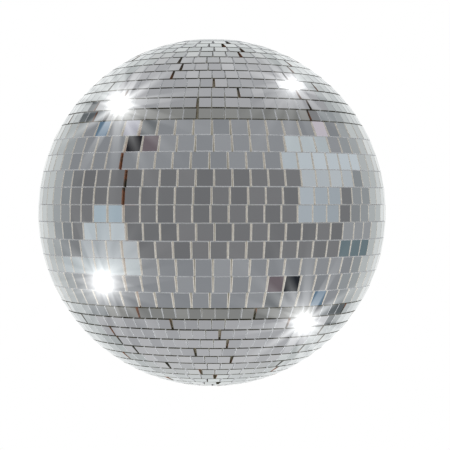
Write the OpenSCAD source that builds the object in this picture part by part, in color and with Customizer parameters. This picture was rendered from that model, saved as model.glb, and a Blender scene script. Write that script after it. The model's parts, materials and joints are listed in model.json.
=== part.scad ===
// Mirror ball, 20 cm (8 inch) class: a hollow moulded core in two halves, covered with rows of
// flat mirror tiles on an adhesive scrim, and hung from a folding bail on a swivel that sits in a
// cup let into the top of the ball.
//
// Millimetres, +Z up. The origin is at the mouth of the tapped hole in the swivel's spindle,
// on the ball's axis, and the ball's centre is straight below it.

/* [Core] */
// Outer diameter of the moulded core
core_d = 203; // [160:1:245]
// Wall thickness of the core
core_wall = 2.2; // [1.6:0.1:4]
// How far the lower half's lip reaches up inside the upper half
lap_h = 6; // [3:0.5:10]
// Thickness of that lip
lap_t = 1.6; // [1:0.1:3]
// Thickness of the adhesive scrim that the tiles are laid on
scrim_t = 0.8; // [0.4:0.1:1.5]

/* [Mirror tiles] */
// Side of the square tiles in the middle band
band_tile = 9.5; // [7:0.1:12]
// Side of the square tiles in the two caps
cap_tile = 6.8; // [5.5:0.1:9]
// Thickness of the mirror glass
tile_t = 2.2; // [1:0.1:3]
// Least gap between tiles along a row of the band
band_gap = 0.05; // [0.05:0.05:1]
// Least gap between rows of the band
band_row_gap = 0.12; // [0.1:0.02:1]
// Least gap between tiles along a row of the caps
cap_gap = 0.1; // [0.05:0.05:1]
// Least gap between rows of the caps
cap_row_gap = 0.5; // [0.45:0.05:1]
// How much wider the joint is where two strips of tiles meet
strip_joint = 0.7; // [0.1:0.1:1.5]
// Number of tiles in a strip of the band
band_strip = 33; // [10:1:60]
// Number of tiles in a strip of the caps
cap_strip = 9; // [4:1:40]
// Latitude, in degrees, at which the band gives way to the smaller tiles
band_angle = 30; // [20:1:40]
// Diameter of the round tile that closes the bottom pole
pole_tile_d = 9; // [6:0.5:12]

/* [Hanger cup] */
// Diameter of the cup's mouth
mouth_d = 34; // [32:0.5:44]
// Thickness of the cup's side wall
cup_wall = 1.8; // [1.2:0.1:3]
// Thickness of the cup's floor
floor_t = 3; // [2:0.5:5]
// Depth of the spindle's lugs below the rim of the mouth
sink = 1; // [0.5:0.5:4]
// Thickness of the clamp ring inside the core, at its outer edge
clamp_t = 3; // [2:0.5:5]
// Number of flange screws
screws = 4; // [3:1:8]
// Width of the flange between the cup's wall and a screw's head
inner_land = 0.25; // [0.2:0.05:3]
// Width of the flange outside a screw's head
outer_land = 1.95; // [1.5:0.05:6]
// Shank diameter of a flange screw
screw_d = 2.9; // [2:0.1:3.5]
// Head diameter of a flange screw
screw_head_d = 5.5; // [4.5:0.1:6]
// Depth of a flange screw's head below the dome
head_sink = 0.15; // [0.1:0.05:0.5]
// How far a flange screw's end stands out of the clamp ring
screw_proud = 1; // [0.5:0.5:3]

/* [Swivel] */
// Diameter of the spindle's shank
spindle_d = 8; // [7:0.5:9]
// Width of the spindle's head round its shank
head_land = 2.5; // [1.5:0.1:2.8]
// Height of the spindle's head
head_h = 3; // [2:0.5:4]
// Depth of the two spanner flats on the head
flat_cut = 1; // [0.5:0.1:1.2]
// Core diameter of the tapped hole in the spindle's head (M6)
tap_d = 5; // [4:0.1:5.5]
// Depth of the tapped hole
tap_depth = 10; // [6:1:14]
// Thickness of the lug plate
plate_t = 2.5; // [2:0.5:4]
// Thickness of a lug
lug_t = 2.6; // [2:0.1:3]
// Width of a lug round the hole for the bail
lug_wall = 1.9; // [1.2:0.1:2.6]
// Radius of the notches in the lug plate that let a fingertip under the bail
notch_r = 4; // [3:0.5:5]
// Wall thickness of the bush's sleeve
bush_wall = 1.95; // [1:0.05:2.5]
// Width of the bush's flange round its sleeve
bush_land = 2.5; // [1.5:0.1:4]
// Thickness of the bush's flange
bush_flange_t = 1.2; // [0.8:0.1:2]
// Width of the two washers under the cup, round the bush's sleeve
washer_land = 3; // [2:0.5:5]
// Thickness of the plastic thrust washer
thrust_t = 1; // [0.6:0.1:2]
// Thickness of the steel washer
steel_t = 1.6; // [1:0.1:2.5]
// Width of the lock nut round the spindle, at its flats
nut_wall = 2.5; // [2:0.1:3.5]
// Height of the lock nut's hexagon
nut_h = 6; // [5:0.5:8]
// Height of the nylon insert in the lock nut's round collar
insert_h = 1.6; // [1:0.1:3]
// Thickness of the collar's lid over the insert
collar_lid = 0.55; // [0.4:0.05:1]
// Thickness of the collar's wall round the insert
collar_wall = 0.8; // [0.5:0.1:1]
// How far the collar stands in from the nut's flats
collar_step = 0.5; // [0.2:0.1:0.8]
// How far the spindle's thread stands out below the nut
thread_proud = 1.5; // [0.5:0.5:4]

/* [Bail] */
// Diameter of the bail's wire
wire_d = 2.5; // [2:0.1:3]

/* [Clearances] */
// Glue line or seating gap between pieces that are fixed together
seat = 0.05; // [0.02:0.01:0.1]
// Radial clearance of a turning fit
run = 0.05; // [0.02:0.01:0.1]
// Gap between flat faces that slide on each other
slide_gap = 0.1; // [0.05:0.05:0.3]
// Clearance round pieces that pass through a hole without turning
pass = 0.3; // [0.2:0.1:0.6]
// Gap between the lug plate and the wall of the cup
plate_clear = 1.4; // [0.8:0.1:3]
// Gap between the bail and the wall of the cup
bail_clear = 1.75; // [1:0.05:3]
// Gap between the bail's wire and the outside of a lug
lug_clear = 1.15; // [0.6:0.05:2]

/* [Hidden] */
$fn = 144;
// Facets of a sphere that a thin ring is cut from
fine_fn = 360;
// Overlap of shapes that are joined, and how far a cutter stands out past what it cuts
eps = 0.01;
over = 1;

// Shells of the ball, from the inside out
core_r = core_d / 2;
inner_r = core_r - core_wall;
scrim_r = core_r + seat;
seat_r = scrim_r + scrim_t + seat;
face_r = seat_r + tile_t;

// Hanger, outwards from its axis
bush_bore = spindle_d / 2 + run;
bush_r = bush_bore + bush_wall;
washer_r = bush_r + washer_land;
nut_r = spindle_d / 2 + nut_wall;
collar_r = nut_r - collar_step;
recess_r = collar_r - collar_wall;
head_r = spindle_d / 2 + head_land;
mouth_r = mouth_d / 2;
plate_r = mouth_r - plate_clear;
bail_r = mouth_r - bail_clear - wire_d / 2;
lug_x = bail_r - wire_d / 2 - lug_clear - lug_t / 2;
lug_r = wire_d / 2 + run + lug_wall;
cup_r = mouth_r + cup_wall;
screw_r = cup_r + inner_land + screw_head_d / 2;
flange_r = screw_r + screw_head_d / 2 + outer_land;
clamp_r = flange_r - seat;

// Height on a sphere at a distance from its axis, and the angle that a tile and its gap take up
function dome(sphere_r, r) = sqrt(pow(sphere_r, 2) - pow(r, 2));
function arc(length, radius) = length / radius * 180 / PI;
function pitch(tile, gap) = 2 * atan(tile / 2 / seat_r) + arc(gap, seat_r);

// Rows of the band: one on the equator and the same number above and below it
band_pitch = pitch(band_tile, band_row_gap);
band_side = round(band_angle / band_pitch - 0.5);
band_rows = 2 * band_side + 1;
band_top = (band_side + 0.5) * band_pitch;

// Rows of the caps: as many as fit, spread evenly up to the flange or down to the pole tile
cap_pitch = pitch(cap_tile, cap_row_gap);
flange_lat = acos((flange_r + cap_row_gap) / seat_r);
pole_lat = acos((pole_tile_d / 2 + cap_row_gap) / seat_r);
top_rows = floor((flange_lat - band_top) / cap_pitch);
bottom_rows = floor((pole_lat - band_top) / cap_pitch);
top_pitch = (flange_lat - band_top) / top_rows;
bottom_pitch = (pole_lat - band_top) / bottom_rows;

// Each cap row starts a golden angle on from the last, so its joints never line up with the next
row_turn = 137.508;

// The band's joints do line up, at the front and within a small sway; its strips meet to the left
front = -90;
sway = 0.8;
strip_lead = 27;

// Heights of the hanger above the ball's centre
mouth_z = dome(face_r, mouth_r);
pivot_z = mouth_z - sink - lug_r;
plate_z = pivot_z - wire_d / 2 - slide_gap;
floor_z = plate_z - plate_t - slide_gap - bush_flange_t - seat;
under_z = floor_z - floor_t;
thrust_z = under_z - seat - thrust_t;
steel_z = thrust_z - slide_gap - steel_t;
collar_h = insert_h + seat + collar_lid;
nut_z = steel_z - seat - nut_h - collar_h;
spindle_end = nut_z - thread_proud;
head_z = plate_z + seat;
drop = head_z + head_h;

// Flange screws: their heads lie just under the dome
screw_top = dome(face_r, screw_r + screw_head_d / 2) - head_sink;
cone_h = (screw_head_d - screw_d) / 2;
clamp_z = dome(inner_r, clamp_r) - clamp_t;
screw_end = clamp_z - screw_proud;

function row_name(stem, i) = str(stem, i < 9 ? "0" : "", i + 1);

// Everything is drawn about the ball's centre, then hung below the origin
module hung() {
    translate([0, 0, -drop]) children();
}

module ring(outer_r, bore_r, z, h) {
    translate([0, 0, z]) difference() {
        cylinder(r = outer_r, h = h);
        translate([0, 0, -over]) cylinder(r = bore_r, h = h + 2 * over);
    }
}

// Half of a spherical shell; side is 1 for the upper half and -1 for the lower
module half_shell(outer, inner, side) {
    difference() {
        sphere(r = outer);
        sphere(r = inner);
        translate([0, 0, -side * (outer + over)]) cube(2 * (outer + over), center = true);
    }
}

module at_screws() {
    for (i = [0:screws - 1])
        rotate([0, 0, (i + 0.5) * 360 / screws]) translate([screw_r, 0, 0]) children();
}

// ---- Mirror tiles ----

// Tiles that fit round a row, counted at the edge nearer the pole, where the circle is smallest
function edge_r(lat, tile) = seat_r * cos(lat) - tile / 2 * sin(abs(lat));
function tiles_round(lat, tile, gap, strip) =
    let (r = edge_r(lat, tile), joint = arc(strip_joint, r))
    floor((360 - joint) / (2 * atan((tile + gap) / 2 / r) + joint / strip));

// Angle from one tile to the next, once every joint between strips has had its share
function tile_step(lat, tile, count, strip) =
    (360 - ceil(count / strip) * arc(strip_joint, edge_r(lat, tile))) / count;

module tile_row(lat, tile, count, strip, start) {
    step = tile_step(lat, tile, count, strip);
    joint = arc(strip_joint, edge_r(lat, tile));
    for (i = [0:count - 1])
        rotate([0, -lat, start + (i + 0.5) * step + floor(i / strip) * joint])
            translate([seat_r, -tile / 2, -tile / 2]) cube([tile_t, tile, tile]);
}

module band_row(i) {
    lat = (band_side - i) * band_pitch;
    count = tiles_round(lat, band_tile, band_gap, band_strip);
    step = tile_step(lat, band_tile, count, band_strip);
    start = front + sway * sin(i * row_turn) - round(strip_lead / step) * step;
    color("#85888c") hung() tile_row(lat, band_tile, count, band_strip, start);
}

module cap_row(lat, turn) {
    count = tiles_round(lat, cap_tile, cap_gap, cap_strip);
    color("#b9bbc0") hung() tile_row(lat, cap_tile, count, cap_strip, turn * row_turn);
}

module top_cap_row(i) {
    cap_row(band_top + (i + 0.5) * top_pitch, -1 - i);
}

module bottom_cap_row(i) {
    cap_row(-band_top - (i + 0.5) * bottom_pitch, band_rows + i);
}

module pole_tile() {
    color("#b9bbc0") hung()
        translate([0, 0, -face_r]) cylinder(d = pole_tile_d, h = tile_t);
}

// ---- Core and scrim ----

module core_upper() {
    color("#1d1c1b") hung() difference() {
        half_shell(core_r, inner_r, 1);
        cylinder(r = cup_r + pass, h = 2 * core_r);
        at_screws() cylinder(d = screw_d + 2 * pass, h = 2 * core_r);
    }
}

// The lip is a ring that grows out of the lower half's wall and reaches up inside the upper half
module core_lower() {
    lip_r = dome(inner_r, lap_h) - slide_gap;
    root_z = dome(inner_r, lip_r - lap_t / 2);
    color("#1d1c1b") hung() union() {
        half_shell(core_r, inner_r, -1);
        intersection() {
            sphere(r = inner_r + core_wall / 2);
            ring(lip_r, lip_r - lap_t, -root_z, root_z + lap_h);
        }
    }
}

module scrim_upper() {
    color("#5a4424") hung() difference() {
        half_shell(scrim_r + scrim_t, scrim_r, 1);
        cylinder(r = flange_r + pass, h = 2 * core_r);
    }
}

module scrim_lower() {
    color("#5a4424") hung() half_shell(scrim_r + scrim_t, scrim_r, -1);
}

// ---- Hanger cup and what fastens it ----

// Half of the cup's section: a domed flange, a wall and a floor with a hole for the bush
module cup_profile() {
    difference() {
        intersection() {
            circle(r = face_r);
            union() {
                difference() {
                    translate([mouth_r, 0]) square([flange_r - mouth_r, face_r]);
                    circle(r = core_r + seat);
                }
                translate([mouth_r, under_z]) square([cup_wall, face_r - under_z]);
                translate([0, under_z]) square([mouth_r + cup_wall / 2, floor_t]);
            }
        }
        translate([-over, under_z - over]) square([bush_r + seat + over, floor_t + 2 * over]);
    }
}

module hanger_cup() {
    color("#c2c3c4") hung() difference() {
        rotate_extrude() cup_profile();
        at_screws() {
            cylinder(d = screw_d + 2 * seat, h = 2 * core_r);
            translate([0, 0, screw_top - cone_h])
                cylinder(r1 = screw_d / 2 + seat, r2 = screw_head_d / 2 + seat, h = cone_h);
            translate([0, 0, screw_top - eps])
                cylinder(r = screw_head_d / 2 + seat, h = core_r);
        }
    }
}

module clamp_ring() {
    color("#9a9a96") hung() difference() {
        intersection() {
            sphere(r = inner_r - seat, $fn = fine_fn);
            ring(clamp_r, cup_r + pass, clamp_z, core_r - clamp_z);
        }
        at_screws() cylinder(d = screw_d + 2 * seat, h = 2 * core_r);
    }
}

module flange_screws() {
    color("#b8bac0") hung() at_screws() {
        translate([0, 0, screw_top - cone_h])
            cylinder(r1 = screw_d / 2, r2 = screw_head_d / 2, h = cone_h);
        translate([0, 0, screw_end]) cylinder(d = screw_d, h = screw_top - cone_h - screw_end + eps);
    }
}

// ---- Swivel ----

module bush() {
    color("#e4e2da") hung() {
        ring(bush_r, bush_bore, under_z, floor_t + seat + eps);
        ring(bush_r + bush_land, bush_bore, floor_z + seat, bush_flange_t);
    }
}

module thrust_washer() {
    color("#f0efe8") hung() ring(washer_r, spindle_d / 2 + pass, thrust_z, thrust_t);
}

module steel_washer() {
    color("#b8bac0") hung() ring(washer_r, spindle_d / 2 + seat, steel_z, steel_t);
}

// A hexagon with a round collar below it, which holds the insert
module lock_nut() {
    color("#b8bac0") hung() difference() {
        union() {
            translate([0, 0, nut_z + collar_h]) cylinder(r = nut_r / cos(30), h = nut_h, $fn = 6);
            translate([0, 0, nut_z]) cylinder(r = collar_r, h = collar_h + eps);
        }
        cylinder(r = spindle_d / 2 + seat, h = core_r);
        translate([0, 0, nut_z - over]) cylinder(r = recess_r, h = insert_h + seat + over);
    }
}

module nut_insert() {
    color("#3566a8") hung() ring(recess_r - seat, spindle_d / 2 + seat, nut_z, insert_h);
}

module spindle() {
    flats = 2 * (head_r - flat_cut);
    color("#c6c8cc") hung() difference() {
        union() {
            translate([0, 0, spindle_end]) cylinder(d = spindle_d, h = head_z - spindle_end + eps);
            translate([0, 0, head_z]) intersection() {
                cylinder(r = head_r, h = head_h);
                translate([-flats / 2, -head_r - over, 0]) cube([flats, 2 * (head_r + over), head_h]);
            }
        }
        translate([0, 0, drop - tap_depth]) cylinder(d = tap_d, h = tap_depth + over);
    }
}

// A disc with two upturned lugs; the bail's ends turn in the lugs
module lug_plate() {
    color("#c6c8cc") hung() difference() {
        union() {
            translate([0, 0, plate_z - plate_t]) cylinder(r = plate_r, h = plate_t);
            for (side = [-1, 1]) translate([side * lug_x, 0, pivot_z]) lug();
        }
        translate([0, 0, plate_z - plate_t - over])
            cylinder(r = spindle_d / 2 + seat, h = plate_t + 2 * over);
        for (side = [-1, 1])
            translate([0, side * (bail_r + wire_d / 2), plate_z - plate_t - over])
                cylinder(r = notch_r, h = plate_t + 2 * over);
    }
}

// Round about the pivot, with straight sides down into the plate
module lug() {
    foot = pivot_z - plate_z + plate_t / 2;
    difference() {
        union() {
            rotate([0, 90, 0]) cylinder(r = lug_r, h = lug_t, center = true);
            translate([-lug_t / 2, -lug_r, -foot]) cube([lug_t, 2 * lug_r, foot]);
        }
        rotate([0, 90, 0]) cylinder(r = wire_d / 2 + run, h = lug_t + over, center = true);
    }
}

// A half ring of wire whose ends turn inwards into the lugs, drawn folded down towards +Y
module bail() {
    pin_l = bail_r - lug_x + lug_t / 2 - pass;
    color("#d4d6da") hung() translate([0, 0, pivot_z]) {
        rotate_extrude(angle = 180) translate([bail_r, 0]) circle(d = wire_d);
        for (side = [-1, 1]) translate([side * bail_r, 0, 0]) {
            sphere(d = wire_d);
            rotate([0, -side * 90, 0]) cylinder(d = wire_d, h = pin_l);
        }
    }
}

lug_plate();
spindle();
steel_washer();
lock_nut();
nut_insert();
bail();
hanger_cup();
bush();
thrust_washer();
clamp_ring();
flange_screws();
core_upper();
core_lower();
scrim_upper();
scrim_lower();
pole_tile();
for (i = [0:top_rows - 1])
    top_cap_row(i);
for (i = [0:band_rows - 1])
    band_row(i);
for (i = [0:bottom_rows - 1])
    bottom_cap_row(i);
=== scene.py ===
"""The finished look of the mirror ball: its glass, scrim, plastics and plated steel, and its studio.

Laid out as a Blender add-on and run as a script. Each operator makes one piece or one group of like
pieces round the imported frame. Lengths are in metres, as Blender's are, unless a name ends in _mm.
"""

import json
import math
import random

import bmesh
import bpy
from bpy.props import FloatProperty, FloatVectorProperty, PointerProperty
from mathutils import Matrix, Vector


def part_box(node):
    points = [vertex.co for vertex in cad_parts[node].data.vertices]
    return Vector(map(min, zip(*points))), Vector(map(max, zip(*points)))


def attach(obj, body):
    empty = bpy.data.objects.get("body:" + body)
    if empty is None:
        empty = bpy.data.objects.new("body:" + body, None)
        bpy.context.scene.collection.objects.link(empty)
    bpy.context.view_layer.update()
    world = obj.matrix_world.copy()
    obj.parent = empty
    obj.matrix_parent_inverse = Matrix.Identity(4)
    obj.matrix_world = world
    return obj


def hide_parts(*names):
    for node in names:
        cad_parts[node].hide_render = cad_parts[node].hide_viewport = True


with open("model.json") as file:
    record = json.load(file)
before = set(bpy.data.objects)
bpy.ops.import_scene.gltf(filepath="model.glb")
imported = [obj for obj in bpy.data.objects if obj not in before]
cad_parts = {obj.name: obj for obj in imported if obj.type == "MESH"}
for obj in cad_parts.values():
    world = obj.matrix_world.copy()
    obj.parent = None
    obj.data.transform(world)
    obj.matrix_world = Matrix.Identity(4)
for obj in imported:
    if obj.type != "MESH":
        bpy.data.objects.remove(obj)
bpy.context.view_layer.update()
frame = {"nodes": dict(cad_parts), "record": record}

bl_info = {
    "name": "Mirror Ball Finish",
    "version": (1, 0, 0),
    "blender": (4, 5, 0),
    "location": "3D View > Sidebar > Mirror Ball",
    "description": "Glass, plastics, plated steel and studio for the mirror ball",
    "category": "Object",
}

MM = 0.001
# Less than any real size, for picking faces that lie at one height
EPS = 0.01 * MM
UP = Vector((0, 0, 1))
# How far round from the front the band's strips of tiles meet
STRIP_MERIDIAN = math.radians(27)

# The lower scrim starts at the equator, so its top is the height of the ball's centre
BALL_CENTRE = Vector((0, 0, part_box("scrim_lower")[1].z))
BALL_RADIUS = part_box("band_row_06")[1].x
BAND_ROWS = sorted(n for n in frame["nodes"] if n.startswith("band_row_"))
TOP_ROWS = sorted(n for n in frame["nodes"] if n.startswith("top_cap_row_"))
BOTTOM_ROWS = sorted(n for n in frame["nodes"] if n.startswith("bottom_cap_row_"))
# Three rows of the band have old adhesive in the joints where their strips of tiles meet
STAINED_BAND_ROWS = ("band_row_03", "band_row_04", "band_row_05")
# The screws' cross recess: length of an arm from the middle, width of an arm, and depth
RECESS_ARM, RECESS_WIDTH, RECESS_DEPTH = 1.5 * MM, 0.8 * MM, 0.7 * MM


# ---- Sizes and colours that a user would change ----


class TileSettings(bpy.types.PropertyGroup):
    side_arris: FloatProperty(
        name="Side arris", description="Width of the ground arris down the sides of a band tile",
        default=0.4 * MM, min=0.05 * MM, max=1 * MM, subtype="DISTANCE", unit="LENGTH")
    end_arris: FloatProperty(
        name="End arris", description="Width of the ground arris along a band tile's top and bottom",
        default=0.14 * MM, min=0.05 * MM, max=1 * MM, subtype="DISTANCE", unit="LENGTH")
    cap_arris: FloatProperty(
        name="Cap arris", description="Width of the ground arris round a cap tile",
        default=0.12 * MM, min=0.05 * MM, max=1 * MM, subtype="DISTANCE", unit="LENGTH")
    tilt: FloatProperty(
        name="Tilt", description="How unevenly the tiles were pressed down, as a standard deviation",
        default=math.radians(0.4), min=0, max=math.radians(2), subtype="ANGLE", unit="ROTATION")
    drift: FloatProperty(
        name="Drift", description="How far a tile strays along its row, at most",
        default=0.06 * MM, min=0, max=0.3 * MM, subtype="DISTANCE", unit="LENGTH")


class StageSettings(bpy.types.PropertyGroup):
    camera_radii: FloatProperty(
        name="Camera distance", description="Distance from the ball's centre, in ball radii",
        default=8.5, min=4, max=20)
    camera_rise: FloatProperty(
        name="Camera height", description="Angle of the camera above the level of the ball's centre",
        default=math.radians(0.5), min=0, max=math.radians(30), subtype="ANGLE", unit="ROTATION")
    fill: FloatProperty(
        name="Fill", description="Share of the picture's width that the ball takes up",
        default=0.772, min=0.1, max=1, subtype="FACTOR")
    shift: FloatVectorProperty(
        name="Shift", description="How far the picture is slid past the ball, in picture widths",
        size=2, default=(0.029, -0.028))
    floor_drop: FloatProperty(
        name="Floor", description="Height of the ball's centre above the floor",
        default=0.6, min=0.2, max=3, subtype="DISTANCE", unit="LENGTH")


# ---- Materials ----


def srgb(code):
    """A hex colour as linear red, green, blue and alpha."""
    def linear(value):
        return value / 12.92 if value <= 0.04045 else ((value + 0.055) / 1.055) ** 2.4

    return tuple(linear(int(code[i:i + 2], 16) / 255) for i in (1, 3, 5)) + (1.0,)


def add_node(tree, kind, links=None, inputs=None, **settings):
    """Adds a node: settings are its own, inputs are values and links are sockets to join to it."""
    node = tree.nodes.new(kind)
    for name, value in settings.items():
        setattr(node, name, value)
    for name, value in (inputs or {}).items():
        node.inputs[name].default_value = value
    for name, socket in (links or {}).items():
        tree.links.new(socket, node.inputs[name])
    return node


def new_material(name, inputs):
    """A Principled material; returns it, its tree and its shader."""
    material = bpy.data.materials.new(name)
    material.use_nodes = True
    tree = material.node_tree
    shader = tree.nodes["Principled BSDF"]
    for socket, value in inputs.items():
        shader.inputs[socket].default_value = value
    return material, tree, shader


def ramp(tree, fac, stops, interpolation="LINEAR"):
    """A colour ramp through (position, hex colour) stops."""
    node = add_node(tree, "ShaderNodeValToRGB", links={"Fac": fac})
    band = node.color_ramp
    band.interpolation = interpolation
    while len(band.elements) < len(stops):
        band.elements.new(0.5)
    for element, (position, code) in zip(band.elements, stops):
        element.position = position
        element.color = srgb(code)
    return node


def object_noise(tree, size_mm, detail=2.0, roughness=0.5, stretch=(1, 1, 1)):
    """Noise on Object coordinates whose features are about size_mm across."""
    place = add_node(tree, "ShaderNodeTexCoord")
    mapped = add_node(tree, "ShaderNodeMapping", links={"Vector": place.outputs["Object"]},
                      inputs={"Scale": stretch})
    return add_node(tree, "ShaderNodeTexNoise", links={"Vector": mapped.outputs["Vector"]},
                    inputs={"Scale": 1 / (size_mm * MM), "Detail": detail, "Roughness": roughness})


def silvered_glass(name, dark, light):
    """Silvered float glass: a near-perfect mirror; each tile is cut from a sheet of its own tone."""
    material, tree, shader = new_material(name, {"Metallic": 1.0, "Roughness": 0.045})
    tone = add_node(tree, "ShaderNodeAttribute", attribute_name="tone")
    colour = ramp(tree, tone.outputs["Fac"], [(0.0, dark), (1.0, light)])
    tree.links.new(colour.outputs["Color"], shader.inputs["Base Color"])
    # float glass is flat to a few microns over a tile, which bends a reflection slightly
    wave = object_noise(tree, 14, detail=1.0)
    bump = add_node(tree, "ShaderNodeBump", links={"Height": wave.outputs["Fac"]},
                    inputs={"Strength": 0.05, "Distance": 0.2 * MM})
    tree.links.new(bump.outputs["Normal"], shader.inputs["Normal"])
    return material


def ground_glass_with_painted_glow(name, dark, light, glow):
    """The cut and ground edge of a clean glass tile: pale and matt, with a painted glow. An emission of
    glow strength stands for the light that the glass behind it carries to the edge.
    """
    # painted glow: this emission lights the edge though it is no lamp
    material, tree, shader = new_material(name, {
        "Roughness": 0.4, "IOR": 1.52, "Coat Weight": 0.7, "Coat Roughness": 0.3,
        "Emission Color": srgb(light), "Emission Strength": glow})
    grain = object_noise(tree, 1.2, detail=3.0)
    colour = ramp(tree, grain.outputs["Fac"], [(0.3, dark), (0.7, light)])
    tree.links.new(colour.outputs["Color"], shader.inputs["Base Color"])
    return material


def stained_glass_edge(name, size_mm, stops):
    """A cut glass edge with adhesive squeezed up beside it: brown or olive, darker where it is thick."""
    material, tree, shader = new_material(name, {
        "Roughness": 0.5, "IOR": 1.5, "Coat Weight": 1.0, "Coat Roughness": 0.3})
    smear = object_noise(tree, size_mm, detail=3.0)
    colour = ramp(tree, smear.outputs["Fac"], stops)
    tree.links.new(colour.outputs["Color"], shader.inputs["Base Color"])
    return material


# Contact adhesive where it lies open to the air: nearly black, with amber patches
OLD_ADHESIVE = [(0.4, "#55564a"), (0.5, "#b07a5c"), (0.6, "#6b5d4a")]
THIN_ADHESIVE = [(0.3, "#4b4836"), (0.55, "#69664f"), (0.75, "#8a866e")]


def adhesive_scrim():
    """Open-weave scrim under a skin of contact adhesive: olive grey where it has squeezed up thin
    between the tiles, dark amber where the strips of tiles meet and it lies open. It carries a painted
    glow in its own colour."""
    material, tree, shader = new_material("adhesive scrim", {
        "Roughness": 0.6, "IOR": 1.48, "Coat Weight": 1.0, "Coat Roughness": 0.3,
        "Emission Strength": 0.3})
    place = add_node(tree, "ShaderNodeTexCoord")
    # turned so that Y runs back from the meridian where the band's strips meet
    seam = add_node(tree, "ShaderNodeMapping", links={"Vector": place.outputs["Object"]},
                    inputs={"Rotation": (0, 0, STRIP_MERIDIAN)})
    axes = add_node(tree, "ShaderNodeSeparateXYZ", links={"Vector": seam.outputs["Vector"]})
    off = add_node(tree, "ShaderNodeMath", operation="ABSOLUTE", links={0: axes.outputs["X"]})
    open_joint = add_node(tree, "ShaderNodeMapRange", links={"Value": off.outputs["Value"]},
                          inputs={"From Min": 6 * MM, "From Max": 5 * MM})
    blotch = object_noise(tree, 16, detail=4.0)
    thin = ramp(tree, blotch.outputs["Fac"], [(0.3, "#77735f"), (0.7, "#a39f8c")])
    thick = ramp(tree, blotch.outputs["Fac"], OLD_ADHESIVE)
    colour = add_node(tree, "ShaderNodeMix", data_type="RGBA",
                      links={0: open_joint.outputs["Result"], 6: thin.outputs["Color"],
                             7: thick.outputs["Color"]})
    tree.links.new(colour.outputs[2], shader.inputs["Base Color"])
    # painted glow: an emission in the adhesive's own colour lightens the joints, standing for light that
    # the glass on both sides would pipe down to it
    tree.links.new(colour.outputs[2], shader.inputs["Emission Color"])
    thread = object_noise(tree, 1.0, detail=2.0)
    bump = add_node(tree, "ShaderNodeBump", links={"Height": thread.outputs["Fac"]},
                    inputs={"Strength": 0.5, "Distance": 0.3 * MM})
    tree.links.new(bump.outputs["Normal"], shader.inputs["Normal"])
    return material


def moulded_plastic(name, dark, light, roughness, grain_mm):
    """Injection-moulded ABS or nylon: an even colour with the fine spark-eroded grain of the tool."""
    material, tree, shader = new_material(name, {"Roughness": roughness, "IOR": 1.53})
    tint = object_noise(tree, 12, detail=2.0)
    colour = ramp(tree, tint.outputs["Fac"], [(0.35, dark), (0.65, light)])
    tree.links.new(colour.outputs["Color"], shader.inputs["Base Color"])
    grain = object_noise(tree, grain_mm, detail=1.0)
    bump = add_node(tree, "ShaderNodeBump", links={"Height": grain.outputs["Fac"]},
                    inputs={"Strength": 0.25, "Distance": 0.05 * MM})
    tree.links.new(bump.outputs["Normal"], shader.inputs["Normal"])
    return material


def plated_steel(name, dark, light, roughness):
    """Nickel or zinc plate on steel: bright, with faint turning marks and dull patches of handling."""
    material, tree, shader = new_material(name, {"Metallic": 1.0, "Roughness": roughness})
    cloud = object_noise(tree, 6, detail=3.0)
    colour = ramp(tree, cloud.outputs["Fac"], [(0.35, dark), (0.65, light)])
    tree.links.new(colour.outputs["Color"], shader.inputs["Base Color"])
    mark = object_noise(tree, 0.4, detail=2.0, stretch=(0.2, 0.2, 1.0))
    worn = add_node(tree, "ShaderNodeMapRange", links={"Value": mark.outputs["Fac"]},
                    inputs={"To Min": roughness * 0.7, "To Max": roughness * 1.5})
    tree.links.new(worn.outputs["Result"], shader.inputs["Roughness"])
    return material


MATERIALS = {}


def finish_named(key):
    """The material of that name, made the first time it is asked for."""
    makers = {
        "band_mirror": lambda: silvered_glass("silvered glass, band", "#d8dadb", "#f1f2f2"),
        "cap_mirror": lambda: silvered_glass("silvered glass, caps", "#d8dadb", "#f1f2f2"),
        # painted glow: both ground glass edges emit a little light of their own
        "clean_edge": lambda: ground_glass_with_painted_glow("ground glass edge, clear, painted glow", "#c9c4bb", "#e9e5dd", 0.14),
        # painted shade: a grey copy of the clear ground edge, its colour standing for an edge that lies
        # in shade
        "painted_shade_edge": lambda: ground_glass_with_painted_glow("ground glass edge, grey, painted shade", "#c3c5c7", "#dfe0e2", 0.14),
        "stained_edge": lambda: stained_glass_edge("glass edge, olive adhesive", 4, THIN_ADHESIVE),
        "open_edge": lambda: stained_glass_edge("glass edge, old adhesive", 16, OLD_ADHESIVE),
        "adhesive_scrim": adhesive_scrim,
        "core_plastic": lambda: moulded_plastic("moulded ABS, core", "#171615", "#201e1c", 0.5, 0.6),
        "cup_aluminium": lambda: plated_steel("polished cast aluminium", "#c9cacc", "#dedfe0", 0.24),
        "plated_steel": lambda: plated_steel("nickel-plated steel", "#b9bbbf", "#d2d3d6", 0.16),
        "zinc_steel": lambda: plated_steel("zinc-plated steel", "#9fa3aa", "#bdc0c4", 0.3),
        "bearing_nylon": lambda: moulded_plastic("natural nylon", "#d5d2c6", "#e2dfd4", 0.45, 0.8),
        "nut_nylon": lambda: moulded_plastic("blue nylon", "#1f4f97", "#2a62b0", 0.4, 0.8),
    }
    if key not in MATERIALS:
        MATERIALS[key] = makers[key]()
    return MATERIALS[key]


# ---- Making pieces ----


def new_piece(name, bm, body, slot, replaced=(), finishes=(), sharp_deg=30):
    """Turns a bmesh into a finished piece that rides on a body and stands for CAD nodes."""
    mesh = bpy.data.meshes.new(name)
    bm.to_mesh(mesh)
    bm.free()
    mesh.shade_smooth()
    mesh.set_sharp_from_angle(angle=math.radians(sharp_deg))
    for key in finishes or (slot,):
        mesh.materials.append(finish_named(key))
    piece = bpy.data.objects.new(name, mesh)
    bpy.context.scene.collection.objects.link(piece)
    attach(piece, body)
    if replaced:
        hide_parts(*replaced)
    return piece


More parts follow.
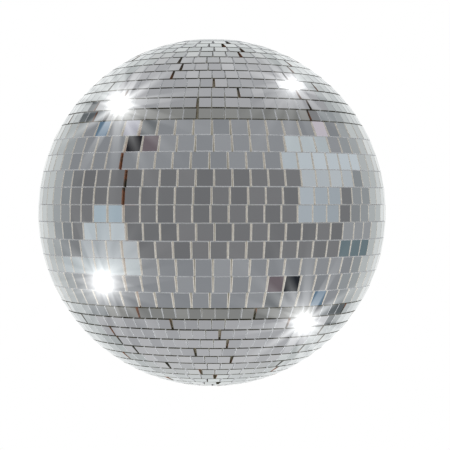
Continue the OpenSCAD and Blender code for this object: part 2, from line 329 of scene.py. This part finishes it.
def merged_copy(node):
    """A CAD node's mesh with its doubled corners merged, as a bmesh."""
    bm = bmesh.new()
    bm.from_mesh(frame["nodes"][node].data)
    bmesh.ops.remove_doubles(bm, verts=bm.verts, dist=0.002 * MM)
    return bm


def softened_mesh(node, width, seams=(0, 45, 90, 135)):
    """A copy of a machined or moulded piece with its sharp CAD edges broken by a small round.

    Planes through the piece's axis and its holes stay as seams, so that no face runs round a hole."""
    bm = merged_copy(node)
    for degrees in seams:
        across = Vector((math.cos(math.radians(degrees)), math.sin(math.radians(degrees)), 0))
        cut = bmesh.ops.bisect_plane(bm, geom=[*bm.verts, *bm.edges, *bm.faces], dist=EPS / 10,
                                     plane_co=(0, 0, 0), plane_no=across)
        for item in cut["geom_cut"]:
            if isinstance(item, bmesh.types.BMEdge):
                item.seam = True
    bmesh.ops.dissolve_limit(bm, angle_limit=math.radians(0.5), verts=bm.verts, edges=bm.edges,
                             delimit={"SEAM"})
    crisp = [e for e in bm.edges if e.is_manifold and e.calc_face_angle() > math.radians(30)]
    bmesh.ops.bevel(bm, geom=crisp, offset=width, offset_type="OFFSET", segments=2,
                    profile=0.5, affect="EDGES", clamp_overlap=True, material=-1)
    return bm


def softened(node, body, width):
    """Replaces a CAD node with its softened copy."""
    return new_piece(node + "_finished", softened_mesh(node, width), body, node_slot(node),
                     replaced=(node,))


def cross_recess(bm, head, turn, arm, width, depth):
    """Sinks a cross recess with tapered walls into the flat top of a screw's head."""
    middle = head.calc_center_median()
    axes = [Vector((math.cos(angle), math.sin(angle), 0)) for angle in (turn, turn + math.pi / 2)]
    top = [head]
    for axis in axes:
        for offset in (-arm, -width / 2, width / 2, arm):
            geom = {item for face in top for item in (face, *face.edges, *face.verts)}
            cut = bmesh.ops.bisect_plane(bm, geom=list(geom), plane_co=middle + axis * offset,
                                         plane_no=axis)
            top = [item for item in cut["geom"] if isinstance(item, bmesh.types.BMFace)]
    cross = []
    for face in top:
        across, along = sorted(abs((face.calc_center_median() - middle).dot(axis)) for axis in axes)
        if across < width / 2 and along < arm:
            cross.append(face)
    grown = bmesh.ops.extrude_face_region(bm, geom=cross)
    floor = [item for item in grown["geom"] if isinstance(item, bmesh.types.BMVert)]
    bmesh.ops.delete(bm, geom=cross, context="FACES")
    bmesh.ops.translate(bm, vec=(0, 0, -depth), verts=floor)
    bmesh.ops.scale(bm, vec=(0.6, 0.6, 1), verts=floor, space=Matrix.Translation(-middle))


def node_slot(node):
    """The record's material slot of a CAD node."""
    return next(s["material_slot"] for s in frame["record"]["subparts"] if s["node"] == node)


def refinish(node):
    """Gives a CAD node that stays as it is its better material."""
    mesh = frame["nodes"][node].data
    mesh.materials.clear()
    mesh.materials.append(finish_named(node_slot(node)))


# ---- Mirror tiles ----


def islands(bm):
    """The separate solids of a bmesh, as lists of vertices."""
    left = set(bm.verts)
    while left:
        group = {left.pop()}
        edge_of_group = list(group)
        while edge_of_group:
            found = {e.other_vert(v) for v in edge_of_group for e in v.link_edges} - group
            group |= found
            edge_of_group = list(found)
        left -= group
        yield list(group)


def tile_places(node):
    """Where a row's tiles sit: for each, its matrix and its size across, up and through."""
    bm = merged_copy(node)
    places = []
    for corners in islands(bm):
        middle = sum((v.co for v in corners), Vector()) / len(corners)
        out = (middle - BALL_CENTRE).normalized()
        across = UP.cross(out).normalized()
        up = out.cross(across)
        size = [max((v.co - middle).dot(axis) for v in corners) * 2 for axis in (across, up, out)]
        turn = Matrix((across, up, out)).transposed().to_4x4()
        places.append((math.atan2(out.y, out.x), Matrix.Translation(middle) @ turn, Vector(size)))
    bm.free()
    places.sort(key=lambda place: place[0])
    return [place[1:] for place in places]


def tile_mesh(size, side_arris, end_arris):
    """One tile about the origin, its face up: a slab whose front edges are ground off at a slant.

    Its material slots are its face, its sides, its ends and, for a side at an open joint, a fourth.
    """
    bm = bmesh.new()
    bmesh.ops.create_cube(bm, size=1)
    bmesh.ops.scale(bm, vec=size, verts=bm.verts)
    front = max(bm.faces, key=lambda face: face.normal.z)
    bmesh.ops.translate(bm, vec=(0, 0, -side_arris), verts=front.verts)
    grown = bmesh.ops.extrude_face_region(bm, geom=[front])
    rim = [item for item in grown["geom"] if isinstance(item, bmesh.types.BMVert)]
    bmesh.ops.delete(bm, geom=[front], context="FACES_ONLY")
    bmesh.ops.translate(bm, vec=(0, 0, side_arris), verts=rim)
    bmesh.ops.scale(bm, vec=(1 - 2 * side_arris / size.x, 1 - 2 * end_arris / size.y, 1), verts=rim)
    bm.normal_update()
    for face in bm.faces:
        edge = 1 if abs(face.normal.x) > abs(face.normal.y) else 2
        face.material_index = 0 if face.normal.z > 0.999 else edge
    mesh = bpy.data.meshes.new("tile")
    bm.to_mesh(mesh)
    bm.free()
    return mesh


def open_joints(places):
    """For each tile, whether the joint after it is one of the wide ones between two strips."""
    angles = [math.atan2(place.translation.y, place.translation.x) for place, _ in places]
    steps = [(after - angle) % (2 * math.pi) for angle, after in zip(angles, angles[1:] + angles[:1])]
    return [step > min(steps) * 1.02 for step in steps]


def lay_row(node, slot, edges, arrises, settings, stained):
    """Replaces a CAD row with ground tiles, each tilted and nudged a little by hand. In a stained
    row, old adhesive has crept up the tiles' sides at the open joints."""
    chance = random.Random(node)
    places = tile_places(node)
    tile = tile_mesh(places[0][1], *arrises)
    wide = open_joints(places)
    bm = bmesh.new()
    tone = bm.faces.layers.float.new("tone")
    for i, (place, _) in enumerate(places):
        known_verts, known_faces = len(bm.verts), len(bm.faces)
        bm.from_mesh(tile)
        bm.verts.ensure_lookup_table()
        bm.faces.ensure_lookup_table()
        nudge = Matrix.Translation((chance.uniform(-1, 1) * settings.drift, 0, 0))
        lean = Matrix.Rotation(chance.gauss(0, settings.tilt), 4, "X")
        swing = Matrix.Rotation(chance.gauss(0, settings.tilt), 4, "Y")
        bmesh.ops.transform(bm, matrix=place @ nudge @ lean @ swing, verts=bm.verts[known_verts:])
        shade = chance.random()
        for face, original in zip(bm.faces[known_faces:], tile.polygons):
            face[tone] = shade
            joint = wide[i] if original.normal.x > 0 else wide[i - 1]
            if stained and joint and original.material_index == 1:
                face.material_index = 3
    bpy.data.meshes.remove(tile)
    return new_piece(node + "_tiles", bm, "ball", slot, replaced=(node,),
                     finishes=(slot, *edges, "open_edge"), sharp_deg=10)


class MIRRORBALL_OT_band_tiles(bpy.types.Operator):
    """Lay the rows of larger mirror tiles round the middle of the ball"""
    bl_idname = "mirrorball.band_tiles"
    bl_label = "Band tiles"

    def execute(self, context):
        settings = context.scene.mirrorball_tiles
        arrises = (settings.side_arris, settings.end_arris)
        for node in BAND_ROWS:
            # the band tiles' ends take the grey copy of the edge, which is painted shade
            lay_row(node, "band_mirror", ("clean_edge", "painted_shade_edge"), arrises, settings,
                    node in STAINED_BAND_ROWS)
        return {"FINISHED"}


class MIRRORBALL_OT_cap_tiles(bpy.types.Operator):
    """Lay the rows of smaller mirror tiles over the top and the bottom of the ball"""
    bl_idname = "mirrorball.cap_tiles"
    bl_label = "Cap tiles"

    def execute(self, context):
        settings = context.scene.mirrorball_tiles
        arrises = (settings.cap_arris, settings.cap_arris)
        for node in TOP_ROWS + BOTTOM_ROWS:
            # the cap tiles' sides take the grey copy of the edge, which is painted shade
            lay_row(node, "cap_mirror", ("painted_shade_edge", "stained_edge"), arrises, settings, True)
        return {"FINISHED"}


class MIRRORBALL_OT_pole_tile(bpy.types.Operator):
    """Make the round mirror that closes the bottom pole"""
    bl_idname = "mirrorball.pole_tile"
    bl_label = "Pole tile"

    def execute(self, context):
        low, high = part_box("pole_tile")
        arris = context.scene.mirrorball_tiles.cap_arris
        bm = bmesh.new()
        bmesh.ops.create_cone(bm, cap_ends=True, segments=48, radius1=high.x, radius2=high.x,
                              depth=high.z - low.z)
        bmesh.ops.translate(bm, vec=(0, 0, (high.z + low.z) / 2), verts=bm.verts)
        rim = [e for e in bm.edges if all(v.co.z < low.z + arris / 10 for v in e.verts)]
        bmesh.ops.bevel(bm, geom=rim, offset=arris, offset_type="OFFSET", segments=2, profile=0.5,
                        affect="EDGES", clamp_overlap=True, material=-1)
        tone = bm.faces.layers.float.new("tone")
        for face in bm.faces:
            face.material_index = 0 if face.normal.z < -0.999 else 1
            face[tone] = 0.5
        new_piece("pole_mirror", bm, "ball", "cap_mirror", replaced=("pole_tile",),
                  finishes=("cap_mirror", "stained_edge"), sharp_deg=10)
        return {"FINISHED"}


# ---- Core, cup and swivel ----


class MIRRORBALL_OT_core(bpy.types.Operator):
    """Finish the two halves of the moulded core and the scrim that covers them"""
    bl_idname = "mirrorball.core"
    bl_label = "Core and scrim"

    def execute(self, context):
        for node in ("core_upper", "core_lower", "scrim_upper", "scrim_lower"):
            refinish(node)
        return {"FINISHED"}


class MIRRORBALL_OT_hanger_cup(bpy.types.Operator):
    """Make the cast cup let into the top, its clamp ring, bush and thrust washer"""
    bl_idname = "mirrorball.hanger_cup"
    bl_label = "Hanger cup"

    def execute(self, context):
        softened("hanger_cup", "ball", 0.25 * MM)
        softened("clamp_ring", "ball", 0.25 * MM)
        softened("bush", "ball", 0.15 * MM)
        softened("thrust_washer", "ball", 0.1 * MM)
        return {"FINISHED"}


class MIRRORBALL_OT_flange_screws(bpy.types.Operator):
    """Make the countersunk screws of the cup's flange, with their cross recesses"""
    bl_idname = "mirrorball.flange_screws"
    bl_label = "Flange screws"

    def execute(self, context):
        bm = softened_mesh("flange_screws", 0.12 * MM, seams=())
        highest = max(v.co.z for v in bm.verts)
        heads = [f for f in bm.faces if f.normal.z > 0.999 and f.calc_center_median().z > highest - EPS]
        if len(heads) != 4:
            raise RuntimeError("the four flange screws should have one flat head each to recess")
        chance = random.Random("flange_screws")
        for head in heads:
            cross_recess(bm, head, chance.uniform(0, math.pi / 2), RECESS_ARM, RECESS_WIDTH,
                         RECESS_DEPTH)
        new_piece("flange_screws_finished", bm, "ball", node_slot("flange_screws"),
                  replaced=("flange_screws",))
        return {"FINISHED"}


class MIRRORBALL_OT_swivel(bpy.types.Operator):
    """Make the turning parts of the hanger: lug plate, spindle, washer, nut and its insert"""
    bl_idname = "mirrorball.swivel"
    bl_label = "Swivel"

    def execute(self, context):
        softened("lug_plate", "hanger", 0.25 * MM)
        softened("spindle", "hanger", 0.25 * MM)
        softened("steel_washer", "hanger", 0.15 * MM)
        softened("lock_nut", "hanger", 0.25 * MM)
        softened("nut_insert", "hanger", 0.1 * MM)
        return {"FINISHED"}


class MIRRORBALL_OT_bail(bpy.types.Operator):
    """Finish the wire bail that the ball hangs by"""
    bl_idname = "mirrorball.bail"
    bl_label = "Bail"

    def execute(self, context):
        refinish("bail")
        return {"FINISHED"}


# ---- Stage ----


def toward(lon_deg, lat_deg):
    """A unit vector: longitude 0 faces the camera and turns towards +X, latitude is above level."""
    lon, lat = math.radians(lon_deg), math.radians(lat_deg)
    return Vector((math.sin(lon) * math.cos(lat), -math.cos(lon) * math.cos(lat), math.sin(lat)))


def glow_material(name, strength):
    """A plain emitter: a lit cloth or card, its colour from the mesh."""
    material = bpy.data.materials.new(name)
    material.use_nodes = True
    tree = material.node_tree
    tree.nodes.clear()
    colour = add_node(tree, "ShaderNodeAttribute", attribute_name="glow")
    emit = add_node(tree, "ShaderNodeEmission", links={"Color": colour.outputs["Color"]},
                    inputs={"Strength": strength})
    add_node(tree, "ShaderNodeOutputMaterial", links={"Surface": emit.outputs["Emission"]})
    return material


def stage_piece(name, bm, material, camera=None):
    """A piece of the studio. One that goes with the camera is seen only in reflections."""
    mesh = bpy.data.meshes.new(name)
    bm.to_mesh(mesh)
    bm.free()
    mesh.materials.append(material)
    piece = bpy.data.objects.new(name, mesh)
    bpy.context.scene.collection.objects.link(piece)
    if camera:
        piece.parent = camera
        piece.matrix_parent_inverse = camera.matrix_world.inverted()
        piece.visible_camera = False
        piece.visible_shadow = False
    return piece


def smooth(low, high, value):
    """0 below low, 1 above high and an even slope between."""
    share = min(max((value - low) / (high - low), 0), 1)
    return share * share * (3 - 2 * share)


def between(low, high, value, soft):
    """1 between low and high, falling to 0 over a soft edge."""
    return smooth(low - soft, low + soft, value) * (1 - smooth(high - soft, high + soft, value))


def mix(a, b, share):
    """The colour that lies a share of the way from a to b."""
    return tuple(x + (y - x) * share for x, y in zip(a, b))


def tone_along(stops, value):
    """The colour at a value along (value, hex colour) stops."""
    colour = srgb(stops[0][1])
    for (start, _), (end, code) in zip(stops, stops[1:]):
        colour = mix(colour, srgb(code), smooth(start, end, value))
    return colour


# What the tent shows, by the slant of the tile that mirrors it: grey walls beside the camera, and
# white cloth further round and behind the ball. Slant 0 looks back at the camera.
WALL = ((45, "#7e7e80"), (54, "#999da0"), (64, "#c8cccc"), (74, "#e8ebeb"), (81, "#fafcfc"))
# By latitude of the tile, above and below alike: a lit ceiling and floor make the caps lighter
CEILING = ((12.5, "#7e7e80"), (14.5, "#989a9e"), (28.6, "#989a9e"), (29.8, "#8b8b89"), (33, "#949492"),
           (34.6, "#b0b0b3"), (44, "#bbbbbe"), (54, "#c6c6c8"), (61, "#d0d2d2"), (68, "#dee2e2"),
           (77, "#ecf0f0"))
# Windows, doorways and furniture round the camera, by the tiles that mirror them: a row, its first and
# last tile there, counted from the front to the right or, below zero, to the left, and a colour
OPENINGS = (
    ("band_row_01", -7, -7, "#677f94"),
    ("band_row_01", -5, -5, "#b4b4be"),
    ("band_row_01", -4, -4, "#7d8083"),
    ("band_row_01", 7, 7, "#cbc4cc"),
    ("band_row_02", -5, -5, "#2c2b2f"),
    ("band_row_02", -4, -4, "#756b70"),
    ("band_row_02", 5, 7, "#c4ccd0"),
    ("band_row_03", 5, 10, "#c4ccd2"),
    ("band_row_04", 6, 9, "#bcc2c7"),
    ("band_row_05", 6, 8, "#b4bcc3"),
    ("band_row_06", 6, 8, "#b4bcc3"),
    ("band_row_06", -7, -6, "#adbcc6"),
    ("band_row_07", -8, -6, "#c0c8cd"),
    ("band_row_07", 9, 11, "#a6a8ab"),
    ("band_row_08", -8, -5, "#bcc1c5"),
    ("band_row_08", 9, 11, "#78878d"),
    ("band_row_09", -10, -5, "#c6cdd0"),
    ("band_row_10", 4, 4, "#756b70"),
    ("band_row_10", 5, 5, "#2c2f35"),
    ("band_row_11", 4, 4, "#7d8083"),
    ("band_row_11", 7, 7, "#677f94"),
)
# Two dark corners of the room: latitudes, longitudes and colour of the tiles that mirror them
CORNERS = (
    ((30, 38), (-57, -50), "#62676a"),
    ((-38, -30), (50, 57), "#62676a"),
)
# Lamps that flash in the tiles: a row, the longitude that the middle tile is nearest to, how far the
# lamp reaches in degrees, and its brightness
LAMPS = (
    ("top_cap_row_02", -38, 3.2, 5),
    ("bottom_cap_row_02", 38, 3.2, 5),
    ("top_cap_row_04", 37, 4.6, 4),
    ("band_row_10", -38, 4.4, 3),
)
TENT_RADIUS = 4


def bearing(way):
    """Longitude and latitude in degrees of a direction from the ball's centre, as toward takes them."""
    lat = math.asin(max(-1, min(1, way.z)))
    return math.degrees(math.atan2(way.x, -way.y)), math.degrees(lat)


def row_bearings(node):
    """Longitude and latitude of each tile of a row, from the back round by the left."""
    return sorted(bearing((place.translation - BALL_CENTRE).normalized())
                  for place, _ in tile_places(node))


def room_areas():
    """Latitudes, longitudes and colour of all that the tent shows besides its walls and ceiling."""
    row_height = row_bearings(BAND_ROWS[0])[0][1] - row_bearings(BAND_ROWS[1])[0][1]
    areas = []
    for node, first, last, code in OPENINGS:
        tiles = row_bearings(node)
        left = [lon for lon, _ in tiles if lon < 0]
        right = [lon for lon, _ in tiles if lon > 0]
        west, east = (right[n - 1] if n > 0 else left[n] for n in (first, last))
        half_tile = min(after - lon for (lon, _), (after, _) in zip(tiles, tiles[1:])) / 2
        lat = tiles[0][1]
        areas.append(((lat - row_height / 2, lat + row_height / 2),
                      (west - half_tile, east + half_tile), srgb(code)))
    return areas + [(lats, lons, srgb(code)) for lats, lons, code in CORNERS]


def aimed_lamps():
    """The direction of each lamp's middle tile, with its reach and brightness."""
    lamps = []
    for node, longitude, reach, brightness in LAMPS:
        tile = min(row_bearings(node), key=lambda place: abs(place[0] - longitude))
        lamps.append((toward(*tile), reach, brightness))
    return lamps


def mirroring_tile(way, camera_distance):
    """The direction from the ball's centre to the tile that throws light to the camera from this
    direction of the tent. Each round starts from a better place for the tile."""
    tent, camera = way * TENT_RADIUS, toward(0, 0) * camera_distance
    # the hair's breadth upwards keeps this whole straight behind the ball
    facing = (way + toward(0, 0) + UP * EPS).normalized()
    for _ in range(3):
        tile = facing * BALL_RADIUS
        facing = ((tent - tile).normalized() + (camera - tile).normalized()).normalized()
    return facing


def tent_colour(way, camera_distance, areas, lamps):
    """Light of the tent in a direction, worked out from the tile that throws it to the camera."""
    facing = mirroring_tile(way, camera_distance)
    lon, lat = bearing(facing)
    slant = math.degrees(facing.angle(toward(0, 0)))
    colour = tuple(max(pair) for pair in zip(tone_along(WALL, slant), tone_along(CEILING, abs(lat))))
    for (south, north), (west, east), tone in areas:
        colour = mix(colour, tone, between(south, north, lat, 0.6) * between(west, east, lon, 0.8))
    for middle, reach, brightness in lamps:
        off = math.degrees(facing.angle(middle))
        colour = mix(colour, (brightness,) * 4, 1 - smooth(reach * 0.4, reach, off))
    return colour


class MIRRORBALL_OT_stage(bpy.types.Operator):
    """Set the studio: pale floor, camera, light tent, cards and the lamps that glint in the tiles"""
    bl_idname = "mirrorball.stage"
    bl_label = "Stage"

    def execute(self, context):
        settings = context.scene.mirrorball_stage
        camera = self.place_camera(context, settings)
        self.light_world(context)
        self.lay_floor(settings)
        self.hang_tent(camera, settings.camera_radii * BALL_RADIUS)
        self.fit_star_filter(context)
        context.scene.view_settings.view_transform = "Standard"
        return {"FINISHED"}

    def place_camera(self, context, settings):
        data = bpy.data.cameras.new("camera")
        camera = bpy.data.objects.new("camera", data)
        context.scene.collection.objects.link(camera)
        distance = settings.camera_radii * BALL_RADIUS
        sight = toward(0, math.degrees(settings.camera_rise))
        camera.location = BALL_CENTRE + sight * distance
        camera.rotation_euler = (math.pi / 2 - settings.camera_rise, 0, 0)
        # the outline is where sight lines touch the ball, so it looks a little wider than the ball
        edge_slope = BALL_RADIUS / math.sqrt(distance ** 2 - BALL_RADIUS ** 2)
        data.lens = data.sensor_width / 2 * settings.fill / edge_slope
        data.shift_x, data.shift_y = settings.shift
        data.clip_start, data.clip_end = 0.01, 50
        context.scene.camera = camera
        context.view_layer.update()
        return camera

    def light_world(self, context):
        world = bpy.data.worlds.new("white studio")
        world.use_nodes = True
        world.node_tree.nodes["Background"].inputs["Color"].default_value = srgb("#ffffff")
        world.node_tree.nodes["Background"].inputs["Strength"].default_value = 1.0
        context.scene.world = world

    def lay_floor(self, settings):
        material, _, _ = new_material("pale floor", {
            "Base Color": srgb("#f2f2f0"), "Roughness": 0.9,
            "Emission Color": srgb("#ffffff"), "Emission Strength": 0.75})
        bm = bmesh.new()
        bmesh.ops.create_grid(bm, x_segments=1, y_segments=1, size=2.5)
        bmesh.ops.translate(bm, vec=BALL_CENTRE - UP * settings.floor_drop, verts=bm.verts)
        floor = stage_piece("floor", bm, material)
        floor.visible_glossy = False

    def hang_tent(self, camera, camera_distance):
        bm = bmesh.new()
        bmesh.ops.create_uvsphere(bm, u_segments=240, v_segments=160, radius=TENT_RADIUS)
        glow = bm.verts.layers.float_color.new("glow")
        areas, lamps = room_areas(), aimed_lamps()
        for vert in bm.verts:
            vert[glow] = tent_colour(vert.co.normalized(), camera_distance, areas, lamps)
        bmesh.ops.translate(bm, vec=BALL_CENTRE, verts=bm.verts)
        stage_piece("light_tent", bm, glow_material("lit tent cloth", 1.0), camera)

    def fit_star_filter(self, context):
        """A star filter on the lens draws the lamps' images out into short rays."""
        context.scene.use_nodes = True
        tree = context.scene.node_tree
        tree.nodes.clear()
        picture = add_node(tree, "CompositorNodeRLayers")
        stars = add_node(tree, "CompositorNodeGlare", links={"Image": picture.outputs["Image"]},
                         glare_type="STREAKS", quality="HIGH",
                         inputs={"Threshold": 1.5, "Strength": 1.0, "Streaks": 14,
                                 "Streaks Angle": math.radians(8), "Iterations": 4, "Fade": 0.95,
                                 "Color Modulation": 0.05})
        add_node(tree, "CompositorNodeComposite", links={"Image": stars.outputs["Image"]})


class MIRRORBALL_PT_panel(bpy.types.Panel):
    """Lists the pieces of the mirror ball and what can be changed about them"""
    bl_idname = "MIRRORBALL_PT_panel"
    bl_label = "Mirror Ball"
    bl_space_type = "VIEW_3D"
    bl_region_type = "UI"
    bl_category = "Mirror Ball"

    def draw(self, context):
        for group in (context.scene.mirrorball_tiles, context.scene.mirrorball_stage):
            for name in group.__annotations__:
                self.layout.prop(group, name)
        for operator in OPERATORS:
            self.layout.operator(operator.bl_idname)


OPERATORS = (
    MIRRORBALL_OT_band_tiles,
    MIRRORBALL_OT_cap_tiles,
    MIRRORBALL_OT_pole_tile,
    MIRRORBALL_OT_core,
    MIRRORBALL_OT_hanger_cup,
    MIRRORBALL_OT_flange_screws,
    MIRRORBALL_OT_swivel,
    MIRRORBALL_OT_bail,
    MIRRORBALL_OT_stage,
)
CLASSES = (TileSettings, StageSettings) + OPERATORS + (MIRRORBALL_PT_panel,)


def register():
    for cls in CLASSES:
        bpy.utils.register_class(cls)
    bpy.types.Scene.mirrorball_tiles = PointerProperty(type=TileSettings)
    bpy.types.Scene.mirrorball_stage = PointerProperty(type=StageSettings)


def unregister():
    del bpy.types.Scene.mirrorball_stage
    del bpy.types.Scene.mirrorball_tiles
    for cls in reversed(CLASSES):
        bpy.utils.unregister_class(cls)


def main():
    register()
    bpy.ops.mirrorball.band_tiles()
    bpy.ops.mirrorball.cap_tiles()
    bpy.ops.mirrorball.pole_tile()
    bpy.ops.mirrorball.core()
    bpy.ops.mirrorball.hanger_cup()
    bpy.ops.mirrorball.flange_screws()
    bpy.ops.mirrorball.swivel()
    bpy.ops.mirrorball.bail()
    bpy.ops.mirrorball.stage()


if __name__ == "__main__":
    main()
